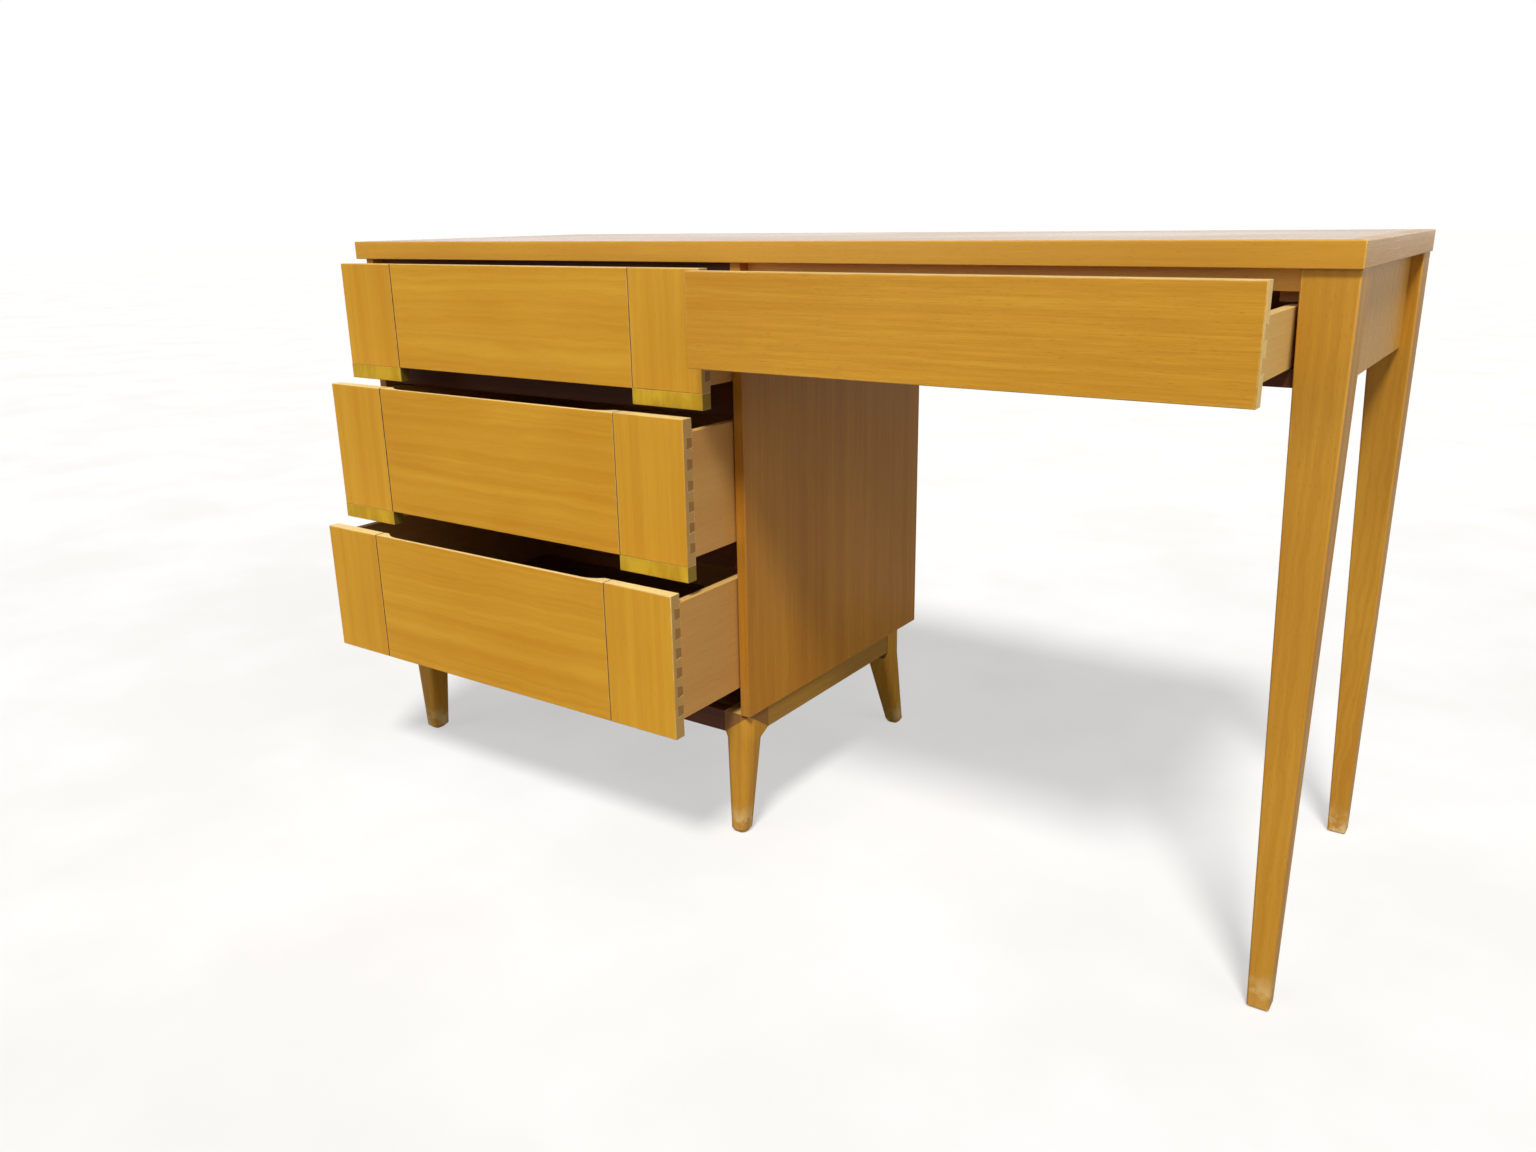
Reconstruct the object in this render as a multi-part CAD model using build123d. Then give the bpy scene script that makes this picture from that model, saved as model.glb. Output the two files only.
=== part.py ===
from build123d import *
from dataclasses import dataclass
import os

# A writing desk: a pedestal of three drawers on the left, a pencil drawer over the
# kneehole and two long tapered legs on the right.  Millimetres, +Z up, floor at z = 0.
# The design is drawn with x from the middle of the desktop and y from its front edge
# (backwards is positive), and is moved to its final origin only when it is written out.

# ---- driving dimensions: desktop ----
DESK_LENGTH = 1328.0
DESK_DEPTH = 460.0
DESK_HEIGHT = 760.0
TOP_THICKNESS = 24.0
EDGING = 19.0
EASING = 1.2

# ---- driving dimensions: pedestal case ----
CASE_LEFT = -646.0
CASE_WIDTH = 664.0
CASE_FRONT = 4.0
CASE_BACK = 452.0
CASE_BOTTOM = 175.0
CASE_SIDE = 14.0
BACK_PANEL = 6.0
RAIL_THICKNESS = 20.0
TOP_RAIL_DEPTH = 40.0

# ---- driving dimensions: base frame and its short legs ----
BASE_HEIGHT = 29.0
BASE_INSET = 2.0
BASE_BACK = 411.0
BASE_RAIL = 18.0
FOOT_WIDTH = 39.0
FOOT_DEPTH = 43.0
SHANK_DEPTH = 30.0
SHANK_CORNER = 8.0
SHOULDER = 9.0
FOOT_CORNER = 15.0
HEAD_CORNER = 2.0
ANKLE = 24.0
LEFT_ANKLE = 28.0
ANKLE_CORNER = 10.0
PAD = 17.0
PAD_HEIGHT = 5.0
LEFT_FOOT_SPLAY = 1.0
RIGHT_FOOT_SPLAY = -7.0
REAR_FOOT_SPLAY = 53.0
CORNER_BLOCK = 62.0
CORNER_BLOCK_HEIGHT = 22.0

# ---- driving dimensions: kneehole side ----
LEG_TOP = 49.0
LEG_FOOT = 22.0
LEG_INSET = 2.0
LEG_FRONT_INSET = 5.0
LEG_BACK_INSET = 3.0
LEG_EASING = 2.0
APRON_BOTTOM = 631.0
APRON_THICKNESS = 18.0
APRON_SETBACK = 13.0
KNEE_RAIL_HEIGHT = 17.0

# ---- driving dimensions: drawers ----
FRONT_THICKNESS = 16.0
SLIP = 2.0
RUNNER_SLIP = 0.5
PILASTER = 105.0
GROOVE_WIDTH = 1.6
GROOVE_DEPTH = 2.5
SIDE_THICKNESS = 11.0
BOX_LENGTH = 410.0
PLY = 5.0
PLY_RISE = 9.0
BACK_DROP = 6.0
TAIL_PITCH = 24.5
TAIL_NECK = 11.0
TAIL_END = 14.0
TAIL_LENGTH = 10.0
CAP_HEIGHT = 19.0
CAP_WALL = 1.2
COVE_LIP = 5.0
COVE_DEPTH = 24.0
COVE_INSET = 10.0
COVE_RUN = 28.0
RUNNER_WIDTH = 20.0
RUNNER_HEIGHT = 18.0

# ---- driving dimensions: screws that hold the desktop down ----
SCREW_SHANK = 4.0
SCREW_HEAD = 8.0
SCREW_HEAD_HEIGHT = 3.0
SCREW_BITE = 12.0
SCREW_CLEARANCE = 0.1

# ---- places worked out from the dimensions ----
TOP_UNDERSIDE = DESK_HEIGHT - TOP_THICKNESS
CASE_RIGHT = CASE_LEFT + CASE_WIDTH
INSIDE_LEFT = CASE_LEFT + CASE_SIDE
INSIDE_RIGHT = CASE_RIGHT - CASE_SIDE
INSIDE_BACK = CASE_BACK - BACK_PANEL
RAIL_FRONT = CASE_FRONT + FRONT_THICKNESS + 1.0
RAIL_BACK = RAIL_FRONT + RAIL_THICKNESS
TOP_RAIL_BOTTOM = TOP_UNDERSIDE - RAIL_THICKNESS
BASE_BOTTOM = CASE_BOTTOM - BASE_HEIGHT
BASE_LEFT = CASE_LEFT + BASE_INSET
BASE_RIGHT = CASE_RIGHT - BASE_INSET
BASE_FRONT = CASE_FRONT + BASE_INSET
LEG_RIGHT = DESK_LENGTH / 2 - LEG_INSET
LEG_LEFT = LEG_RIGHT - LEG_TOP
REAR_LEG_BACK = DESK_DEPTH - LEG_BACK_INSET
APRON_OUTSIDE = LEG_RIGHT - APRON_SETBACK
APRON_INSIDE = APRON_OUTSIDE - APRON_THICKNESS
REAR_APRON_FRONT = CASE_BACK - APRON_THICKNESS


@dataclass(frozen=True)
class Drawer:
    """One drawer: heights above the floor, side edges, and how far it stands open at rest."""

    name: str
    left: float
    right: float
    top: float
    centre_bottom: float
    side_bottom: float
    side_top: float
    pulled: float
    cap: bool = False
    cove: bool = False

    @property
    def front(self):
        return CASE_FRONT - self.pulled

    @property
    def front_back(self):
        return self.front + FRONT_THICKNESS

    @property
    def box_back(self):
        return self.front_back + BOX_LENGTH


DRAWER_LEFT = INSIDE_LEFT + SLIP
DRAWER_RIGHT = INSIDE_RIGHT - SLIP
PEDESTAL_DRAWERS = [
    Drawer("drawer_1", DRAWER_LEFT, DRAWER_RIGHT, 732.0, 593.0, 601.0, 712.0, 56.0, cap=True),
    Drawer("drawer_2", DRAWER_LEFT, DRAWER_RIGHT, 569.5, 396.0, 405.0, 553.5, 94.0, cap=True, cove=True),
    Drawer("drawer_3", DRAWER_LEFT, DRAWER_RIGHT, 370.0, 189.5, 212.0, 358.0, 127.5, cove=True),
]
PENCIL_DRAWER = Drawer("pencil_drawer", CASE_RIGHT + SLIP, LEG_LEFT - SLIP,
                       732.0, 628.5, 649.0, 703.5, 104.0)
UPPER_RAIL_BOTTOM = 557.0
LOWER_RAIL_BOTTOM = 365.0


def board(x0, x1, y0, y1, z0, z1):
    """A square-edged board between two opposite corners."""
    return Pos((x0 + x1) / 2, (y0 + y1) / 2, (z0 + z1) / 2) * Box(x1 - x0, y1 - y0, z1 - z0)


def plan_prism(points, z0, z1):
    """A flat outline seen from above, given thickness between two heights."""
    outline = make_face(Polyline(*points, close=True))
    return extrude(Pos(0, 0, z0) * outline, z1 - z0)


def face_edges(solid, axis, last=True):
    """The edges round the solid's furthest face along an axis."""
    return solid.faces().sort_by(axis)[-1 if last else 0].edges()


# ---- desktop ----
def desktop_slab():
    half = DESK_LENGTH / 2
    slab = board(-half, half, 0, DESK_DEPTH, TOP_UNDERSIDE, DESK_HEIGHT)
    slab = fillet(slab.edges().filter_by(Axis.Z), 2 * EASING)
    rims = face_edges(slab, Axis.Z) + face_edges(slab, Axis.Z, last=False)
    return fillet(rims, EASING)


def desktop_pieces():
    """The veneered core and the four solid edgings, mitred where they meet."""
    slab = desktop_slab()
    half = DESK_LENGTH / 2
    inner = half - EDGING
    near = EDGING
    far = DESK_DEPTH - EDGING
    outlines = {
        "desktop_core": [(-inner, near), (inner, near), (inner, far), (-inner, far)],
        "desktop_edge_front": [(-half, 0), (half, 0), (inner, near), (-inner, near)],
        "desktop_edge_back": [(-half, DESK_DEPTH), (half, DESK_DEPTH), (inner, far), (-inner, far)],
        "desktop_edge_left": [(-half, 0), (-inner, near), (-inner, far), (-half, DESK_DEPTH)],
        "desktop_edge_right": [(half, 0), (inner, near), (inner, far), (half, DESK_DEPTH)],
    }
    prisms = {name: plan_prism(points, TOP_UNDERSIDE, DESK_HEIGHT) for name, points in outlines.items()}
    return {name: slab & prism for name, prism in prisms.items()}


# ---- pedestal case ----
def case_side(x0):
    panel = board(x0, x0 + CASE_SIDE, CASE_FRONT, CASE_BACK, CASE_BOTTOM, TOP_UNDERSIDE)
    return fillet(face_edges(panel, Axis.Y, last=False).filter_by(Axis.Z), EASING)


def case_back():
    return board(INSIDE_LEFT, INSIDE_RIGHT, INSIDE_BACK, CASE_BACK, CASE_BOTTOM, TOP_UNDERSIDE)


def case_rail(z0, z1):
    """A divider rail, set back so that the drawer fronts close over it."""
    return board(INSIDE_LEFT, INSIDE_RIGHT, RAIL_FRONT, RAIL_BACK, z0, z1)


def case_top_rail(y0):
    return board(INSIDE_LEFT, INSIDE_RIGHT, y0, y0 + TOP_RAIL_DEPTH, TOP_RAIL_BOTTOM, TOP_UNDERSIDE)


def pedestal_runners():
    """A pair of hardwood runners for each pedestal drawer."""
    strips = []
    for drawer in PEDESTAL_DRAWERS:
        top = drawer.side_bottom - RUNNER_SLIP
        for x0 in (INSIDE_LEFT, INSIDE_RIGHT - RUNNER_WIDTH):
            strips.append(board(x0, x0 + RUNNER_WIDTH, RAIL_BACK, INSIDE_BACK, top - RUNNER_HEIGHT, top))
    return Compound(strips)


# ---- base frame ----
def foot_section(centre, z, width, depth, outer, corner, sides):
    """One level of a short leg: a rectangle whose outward corner is rounded more than the rest."""
    sketch = Rectangle(width, depth)
    outward = [v for v in sketch.vertices() if v.X * sides[0] > 0 and v.Y * sides[1] > 0]
    sketch = fillet(outward, outer)
    reach = (width + depth) / 2 - 0.01
    square = [v for v in sketch.vertices() if abs(v.X) + abs(v.Y) > reach]
    sketch = fillet(square, corner)
    return Pos(centre[0], centre[1], z) * sketch


def foot_block(sides):
    """The square head of a short leg, between the base rails; sides is (-1 or 1, -1 or 1)."""
    x0 = BASE_RIGHT - FOOT_WIDTH if sides[0] > 0 else BASE_LEFT
    y0 = BASE_BACK - FOOT_DEPTH if sides[1] > 0 else BASE_FRONT
    return board(x0, x0 + FOOT_WIDTH, y0, y0 + FOOT_DEPTH, BASE_BOTTOM, CASE_BOTTOM)


def foot_splay(sides):
    """How far a foot stands outwards from its head, in x and y."""
    across = RIGHT_FOOT_SPLAY if sides[0] > 0 else LEFT_FOOT_SPLAY
    return (across, REAR_FOOT_SPLAY if sides[1] > 0 else 0.0)


def pedestal_leg(sides):
    """A short leg: square head, a shoulder down to the shank, and a taper to a small pad.

    The front right leg is cut slimmer below its shoulder; the front left one has a stouter ankle.
    """
    head = foot_block(sides)
    box = head.bounding_box()
    top = ((box.min.X + box.max.X) / 2, (box.min.Y + box.max.Y) / 2)
    corner = [e for e in head.edges().filter_by(Axis.Z) if is_outward(e.center(), top, sides)]
    depth = SHANK_DEPTH if sides == (1, -1) else FOOT_DEPTH
    thickness = LEFT_ANKLE if sides == (-1, -1) else ANKLE
    neck = (top[0], top[1] + sides[1] * (FOOT_DEPTH - depth) / 2)
    splay = foot_splay(sides)
    foot = (neck[0] + splay[0] * sides[0], neck[1] + splay[1] * sides[1])
    shoulder_bottom = BASE_BOTTOM - SHOULDER
    upper = foot_section(top, BASE_BOTTOM, FOOT_WIDTH, FOOT_DEPTH, FOOT_CORNER, HEAD_CORNER, sides)
    shank = foot_section(neck, shoulder_bottom, FOOT_WIDTH, depth, FOOT_CORNER, SHANK_CORNER, sides)
    ankle = foot_section(foot, PAD_HEIGHT, thickness, thickness, ANKLE_CORNER, ANKLE_CORNER - 2, sides)
    pad = foot_section(foot, 0, PAD, PAD, ANKLE_CORNER - 4, ANKLE_CORNER - 5, sides)
    leg = fillet(corner, FOOT_CORNER) + loft([upper, shank]) + loft([shank, ankle])
    return leg + loft([ankle, pad])


def is_outward(point, centre, sides):
    return (point.X - centre[0]) * sides[0] > 0 and (point.Y - centre[1]) * sides[1] > 0


def base_rail_across(y0):
    left = BASE_LEFT + FOOT_WIDTH
    return board(left, BASE_RIGHT - FOOT_WIDTH, y0, y0 + BASE_RAIL, BASE_BOTTOM, CASE_BOTTOM)


def base_rail_along(x0):
    front = BASE_FRONT + FOOT_DEPTH
    back = BASE_BACK - FOOT_DEPTH
    return board(x0, x0 + BASE_RAIL, front, back, BASE_BOTTOM, CASE_BOTTOM)


def corner_block(sides):
    """A triangular glue block in one corner of the base frame, cut round the leg's head."""
    x = (BASE_RIGHT - BASE_RAIL) if sides[0] > 0 else (BASE_LEFT + BASE_RAIL)
    y = (BASE_BACK - BASE_RAIL) if sides[1] > 0 else (BASE_FRONT + BASE_RAIL)
    points = [(x, y), (x - sides[0] * CORNER_BLOCK, y), (x, y - sides[1] * CORNER_BLOCK)]
    top = CASE_BOTTOM - PLY
    return plan_prism(points, top - CORNER_BLOCK_HEIGHT, top) - foot_block(sides)


def base_panel():
    """The plywood dust panel, let in flush with the top of the base frame round the legs' heads."""
    heads = [foot_block((across, back)) for across in (-1, 1) for back in (-1, 1)]
    left = BASE_LEFT + BASE_RAIL
    right = BASE_RIGHT - BASE_RAIL
    front = BASE_FRONT + BASE_RAIL
    return board(left, right, front, BASE_BACK - BASE_RAIL, CASE_BOTTOM - PLY, CASE_BOTTOM) - heads


# ---- kneehole side ----
def leg_section(y_outer, side, z, size, trim=0.0):
    """One level of a long leg, square on its two outer faces; trim draws it in for the eased toe."""
    centre = Pos(LEG_RIGHT - size / 2, y_outer - side * size / 2, z)
    return centre * RectangleRounded(size - 2 * trim, size - 2 * trim, LEG_EASING)


def desk_leg(y_outer, side):
    """A long square leg: outer faces upright, inner faces tapering; side is -1 front, 1 rear."""
    top = leg_section(y_outer, side, TOP_UNDERSIDE, LEG_TOP)
    ankle = leg_section(y_outer, side, LEG_EASING, LEG_FOOT)
    toe = leg_section(y_outer, side, 0, LEG_FOOT, trim=LEG_EASING)
    return loft([ankle, top]) + loft([toe, ankle])


def rear_apron(legs):
    return board(CASE_RIGHT, APRON_INSIDE, REAR_APRON_FRONT, CASE_BACK, APRON_BOTTOM, TOP_UNDERSIDE) - legs


def side_apron(legs):
    front = LEG_FRONT_INSET + LEG_TOP / 2
    back = REAR_LEG_BACK - LEG_TOP / 2
    return board(APRON_INSIDE, APRON_OUTSIDE, front, back, APRON_BOTTOM, TOP_UNDERSIDE) - legs


def knee_rail(z0, z1, legs):
    return board(CASE_RIGHT, LEG_LEFT + LEG_TOP / 2, RAIL_FRONT, RAIL_BACK, z0, z1) - legs


def pencil_runners(legs):
    """Runners beside the kneehole; the right one has a guide lip that keeps the drawer in line."""
    top = PENCIL_DRAWER.side_bottom - RUNNER_SLIP
    bottom = top - RUNNER_HEIGHT
    outer = PENCIL_DRAWER.left + RUNNER_WIDTH
    left = board(CASE_RIGHT, outer, RAIL_BACK, REAR_APRON_FRONT, bottom, top)
    inner = PENCIL_DRAWER.right - RUNNER_WIDTH
    lip = PENCIL_DRAWER.right + SLIP
    right = board(inner, APRON_INSIDE, RAIL_BACK, REAR_APRON_FRONT, bottom, top)
    guide = board(lip, APRON_INSIDE, RAIL_BACK, REAR_APRON_FRONT, top, top + RUNNER_HEIGHT)
    return Compound([left, (right + guide - legs).solid()])


def pencil_kickers(legs):
    """Strips above the drawer sides that stop the drawer tipping when it is pulled out."""
    bottom = PENCIL_DRAWER.side_top + SLIP
    inner = PENCIL_DRAWER.right - RUNNER_WIDTH
    outer = PENCIL_DRAWER.left + RUNNER_WIDTH
    left = board(CASE_RIGHT, outer, RAIL_BACK, REAR_APRON_FRONT, bottom, TOP_UNDERSIDE)
    right = board(inner, APRON_INSIDE, RAIL_BACK, REAR_APRON_FRONT, bottom, TOP_UNDERSIDE)
    return Compound([left, (right - legs).solid()])


# ---- screws ----
def screw_places():
    """Where the desktop screws go: (x, y) in the two case rails and the kneehole rail."""
    inset = CASE_WIDTH / 6
    knee = (LEG_LEFT - CASE_RIGHT) / 5
    rows = [
        (INSIDE_LEFT + inset, RAIL_FRONT + TOP_RAIL_DEPTH / 2),
        (INSIDE_RIGHT - inset, RAIL_FRONT + TOP_RAIL_DEPTH / 2),
        (INSIDE_LEFT + inset, INSIDE_BACK - TOP_RAIL_DEPTH / 2),
        (INSIDE_RIGHT - inset, INSIDE_BACK - TOP_RAIL_DEPTH / 2),
        (CASE_RIGHT + knee, RAIL_FRONT + RAIL_THICKNESS / 2),
        (LEG_LEFT - knee, RAIL_FRONT + RAIL_THICKNESS / 2),
    ]
    return rows


def screw(place, growth=0.0):
    """A wood screw driven upwards; growth makes the hole that it sits in."""
    x, y = place
    seat = TOP_RAIL_BOTTOM + SCREW_HEAD_HEIGHT
    length = TOP_UNDERSIDE + SCREW_BITE - seat
    head = Pos(x, y, TOP_RAIL_BOTTOM) * extrude(Circle(SCREW_HEAD / 2 + growth), SCREW_HEAD_HEIGHT)
    shank = Pos(x, y, seat) * extrude(Circle(SCREW_SHANK / 2 + growth), length + growth)
    return head + shank


def screw_holes():
    return [screw(place, SCREW_CLEARANCE) for place in screw_places()]


# ---- drawers ----
def tails(drawer, x0):
    """The dovetails on the front end of one drawer side, in a row up its height."""
    height = drawer.side_top - drawer.side_bottom
    count = round(height / TAIL_PITCH)
    pitch = height / count
    neck = drawer.front_back
    end = neck - TAIL_LENGTH
    row = []
    for number in range(count):
        z = drawer.side_bottom + (number + 0.5) * pitch
        lower = [(x0, neck, z - TAIL_NECK / 2), (x0, end, z - TAIL_END / 2)]
        upper = [(x0, end, z + TAIL_END / 2), (x0, neck, z + TAIL_NECK / 2)]
        outline = make_face(Polyline(*lower, *upper, close=True))
        row.append(extrude(outline, SIDE_THICKNESS, dir=(1, 0, 0)))
    return row


def side_edges(drawer):
    return (drawer.left, drawer.right - SIDE_THICKNESS)


def drawer_bottom(drawer):
    """The plywood bottom, held in grooves in the sides and the front."""
    lap = SIDE_THICKNESS / 2
    left = drawer.left + SIDE_THICKNESS - lap
    right = drawer.right - SIDE_THICKNESS + lap
    z0 = drawer.side_bottom + PLY_RISE
    return board(left, right, drawer.front_back - PLY, drawer.box_back, z0, z0 + PLY)


def drawer_side(drawer, x0):
    z0, z1 = drawer.side_bottom, drawer.side_top
    plank = board(x0, x0 + SIDE_THICKNESS, drawer.front_back, drawer.box_back, z0, z1)
    return plank + tails(drawer, x0) - drawer_bottom(drawer)


def drawer_back(drawer):
    z0 = drawer.side_bottom + PLY_RISE + PLY
    z1 = drawer.side_top - BACK_DROP
    y0 = drawer.box_back - SIDE_THICKNESS
    return board(drawer.left + SIDE_THICKNESS, drawer.right - SIDE_THICKNESS, y0, drawer.box_back, z0, z1)


def all_tails(drawer):
    return [tail for x0 in side_edges(drawer) for tail in tails(drawer, x0)]


def cove(drawer):
    """The finger scoop behind the top edge of the centre panel, with its curved ends."""
    left = drawer.left + PILASTER + COVE_INSET
    right = drawer.right - PILASTER - COVE_INSET
    back = drawer.front_back
    lip = drawer.front + COVE_LIP
    lip_line = Line((left + COVE_RUN, lip), (right - COVE_RUN, lip))
    right_end = TangentArc((right - COVE_RUN, lip), (right, back), tangent=(1, 0))
    left_end = TangentArc((left + COVE_RUN, lip), (left, back), tangent=(-1, 0))
    outline = make_face([lip_line, right_end, Line((right, back), (left, back)), left_end])
    return extrude(Pos(0, 0, drawer.top - COVE_DEPTH) * outline, COVE_DEPTH)


def centre_panel(drawer):
    left = drawer.left + PILASTER
    right = drawer.right - PILASTER
    panel = board(left, right, drawer.front, drawer.front_back, drawer.centre_bottom, drawer.top)
    panel = fillet(face_edges(panel, Axis.Y, last=False).filter_by(Axis.X), EASING)
    panel = panel - drawer_bottom(drawer)
    return panel - cove(drawer) if drawer.cove else panel


def pilaster_span(drawer, on_left):
    return (drawer.left, drawer.left + PILASTER) if on_left else (drawer.right - PILASTER, drawer.right)


def pilaster(drawer, on_left):
    """An upright end board of the front, with the groove line beside the centre panel."""
    x0, x1 = pilaster_span(drawer, on_left)
    block = board(x0, x1, drawer.front, drawer.front_back, drawer.centre_bottom, drawer.top)
    block = fillet(face_edges(block, Axis.Y, last=False), EASING)
    seam = x1 - GROOVE_WIDTH if on_left else x0
    groove = board(seam, seam + GROOVE_WIDTH, drawer.front, drawer.front + GROOVE_DEPTH,
                   drawer.centre_bottom, drawer.top)
    block = block - groove - all_tails(drawer) - drawer_bottom(drawer)
    return block + cap_core(drawer, on_left) if drawer.cap else block


def cap_core(drawer, on_left):
    """The wooden tongue inside a brass end cap."""
    x0, x1 = pilaster_span(drawer, on_left)
    y0 = drawer.front + CAP_WALL
    y1 = drawer.front_back - CAP_WALL
    z1 = drawer.centre_bottom
    return board(x0 + CAP_WALL, x1 - CAP_WALL, y0, y1, z1 - CAP_HEIGHT + CAP_WALL, z1)


def brass_caps(drawer):
    """The folded brass caps over the lower ends of the two pilasters."""
    caps = []
    for on_left in (True, False):
        x0, x1 = pilaster_span(drawer, on_left)
        z1 = drawer.centre_bottom
        shell = board(x0, x1, drawer.front, drawer.front_back, z1 - CAP_HEIGHT, z1)
        shell = fillet(face_edges(shell, Axis.Z, last=False), EASING / 2)
        caps.append((shell - cap_core(drawer, on_left)).solid())
    return Compound(caps)


def pencil_front(drawer):
    front = board(drawer.left, drawer.right, drawer.front, drawer.front_back,
                  drawer.centre_bottom, drawer.top)
    front = fillet(face_edges(front, Axis.Y, last=False), EASING)
    return front - all_tails(drawer) - drawer_bottom(drawer)


def drawer_box(drawer):
    left, right = side_edges(drawer)
    return {
        f"{drawer.name}_side_left": drawer_side(drawer, left),
        f"{drawer.name}_side_right": drawer_side(drawer, right),
        f"{drawer.name}_back": drawer_back(drawer),
        f"{drawer.name}_bottom": drawer_bottom(drawer),
    }


def pedestal_drawer(drawer):
    pieces = {
        f"{drawer.name}_centre_panel": centre_panel(drawer),
        f"{drawer.name}_pilaster_left": pilaster(drawer, True),
        f"{drawer.name}_pilaster_right": pilaster(drawer, False),
    }
    if drawer.cap:
        pieces[f"{drawer.name}_brass_caps"] = brass_caps(drawer)
    return pieces | drawer_box(drawer)


# ---- the whole desk ----
def case_pieces():
    holes = screw_holes()
    upper, middle, _ = PEDESTAL_DRAWERS
    return {
        "pedestal_side_left": case_side(CASE_LEFT),
        "pedestal_side_right": case_side(INSIDE_RIGHT),
        "pedestal_back_panel": case_back(),
        "pedestal_top_rail_front": case_top_rail(RAIL_FRONT) - holes,
        "pedestal_top_rail_back": case_top_rail(INSIDE_BACK - TOP_RAIL_DEPTH) - holes,
        "drawer_rail_upper": case_rail(UPPER_RAIL_BOTTOM, upper.side_bottom - RUNNER_SLIP),
        "drawer_rail_lower": case_rail(LOWER_RAIL_BOTTOM, middle.side_bottom - RUNNER_SLIP),
        "pedestal_drawer_runners": pedestal_runners(),
    }


def base_pieces():
    corners = {"front_left": (-1, -1), "front_right": (1, -1), "rear_left": (-1, 1), "rear_right": (1, 1)}
    pieces = {f"pedestal_leg_{name}": pedestal_leg(sides) for name, sides in corners.items()}
    pieces["base_rail_front"] = base_rail_across(BASE_FRONT)
    pieces["base_rail_back"] = base_rail_across(BASE_BACK - BASE_RAIL)
    pieces["base_rail_left"] = base_rail_along(BASE_LEFT)
    pieces["base_rail_right"] = base_rail_along(BASE_RIGHT - BASE_RAIL)
    pieces["base_panel"] = base_panel()
    pieces["base_corner_blocks"] = Compound([corner_block(sides).solid() for sides in corners.values()])
    return pieces


def kneehole_pieces():
    front_leg = desk_leg(LEG_FRONT_INSET, -1)
    rear_leg = desk_leg(REAR_LEG_BACK, 1)
    legs = [front_leg, rear_leg]
    low = PENCIL_DRAWER.side_bottom - RUNNER_SLIP
    return {
        "desk_leg_front": front_leg,
        "desk_leg_rear": rear_leg,
        "side_apron": side_apron(legs),
        "rear_apron": rear_apron(legs),
        "kneehole_rail_upper": knee_rail(TOP_RAIL_BOTTOM, TOP_UNDERSIDE, legs) - screw_holes(),
        "kneehole_rail_lower": knee_rail(low - KNEE_RAIL_HEIGHT, low, legs),
        "pencil_drawer_runners": pencil_runners(legs),
        "pencil_drawer_kickers": pencil_kickers(legs),
    }


def desk_pieces():
    pieces = desktop_pieces()
    pieces["desktop_core"] = pieces["desktop_core"] - screw_holes()
    pieces["desktop_screws"] = Compound([screw(place) for place in screw_places()])
    pieces |= case_pieces() | base_pieces() | kneehole_pieces()
    for drawer in PEDESTAL_DRAWERS:
        pieces |= pedestal_drawer(drawer)
    pieces["pencil_drawer_front"] = pencil_front(PENCIL_DRAWER)
    return pieces | drawer_box(PENCIL_DRAWER)


def write_pieces():
    """Write every piece, with the origin on the floor under the middle of the desk as it stands."""
    os.makedirs("parts", exist_ok=True)
    frontmost = min(drawer.front for drawer in PEDESTAL_DRAWERS + [PENCIL_DRAWER])
    middle = (frontmost + DESK_DEPTH) / 2
    for name, shape in desk_pieces().items():
        export_step(Pos(0, -middle, 0) * shape, f"parts/{name}.step")


write_pieces()
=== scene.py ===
"""The looks of a honey-coloured writing desk: its woods, brass and steel, and the studio it stands in."""

import logging
import math
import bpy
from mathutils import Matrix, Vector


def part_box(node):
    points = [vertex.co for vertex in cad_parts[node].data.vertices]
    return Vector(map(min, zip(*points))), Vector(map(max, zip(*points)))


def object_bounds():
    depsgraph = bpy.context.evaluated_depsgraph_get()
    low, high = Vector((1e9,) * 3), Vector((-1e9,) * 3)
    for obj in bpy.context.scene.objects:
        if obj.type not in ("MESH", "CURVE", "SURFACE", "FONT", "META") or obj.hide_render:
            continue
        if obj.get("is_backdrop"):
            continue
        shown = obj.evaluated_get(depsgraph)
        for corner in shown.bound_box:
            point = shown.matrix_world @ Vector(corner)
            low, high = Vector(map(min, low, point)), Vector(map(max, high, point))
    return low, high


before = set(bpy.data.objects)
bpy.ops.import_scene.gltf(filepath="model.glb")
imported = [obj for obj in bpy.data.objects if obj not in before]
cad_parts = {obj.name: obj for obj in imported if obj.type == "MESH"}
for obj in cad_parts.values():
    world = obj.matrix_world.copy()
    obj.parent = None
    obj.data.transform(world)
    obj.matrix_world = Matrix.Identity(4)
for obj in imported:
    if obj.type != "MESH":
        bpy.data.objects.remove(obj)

import zlib
from dataclasses import dataclass
from enum import Enum

import bmesh
import bpy
from mathutils import Matrix, Vector

MM = 0.001
log = logging.getLogger("desk")

Colour = tuple[float, float, float, float]
Triple = tuple[float, float, float]
Socket = bpy.types.NodeSocket

# How the CAD nodes' edges are softened.
SAME_POINT = 0.01 * MM
FLAT_ANGLE = math.radians(0.3)
SHARP_ANGLE = math.radians(28)
EDGE_STEPS = 2
BOARD_EDGE = 0.6 * MM
STOUT_EDGE = 0.8 * MM
BOX_EDGE = 0.4 * MM
THIN_EDGE = 0.3 * MM
PLY_EDGE = 0.2 * MM

# How many times each part of a wood's pattern changes in a metre.
DRIFT = 14.0
RIPPLE = 60.0
FIBRES = 1100.0
BROAD_FIBRES = 260.0
PORES = 1900.0
CLOUDS = 5.0
MOTTLE = 900.0
RUBBED_PATCHES = 45.0
DINGS = 14.0

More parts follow.
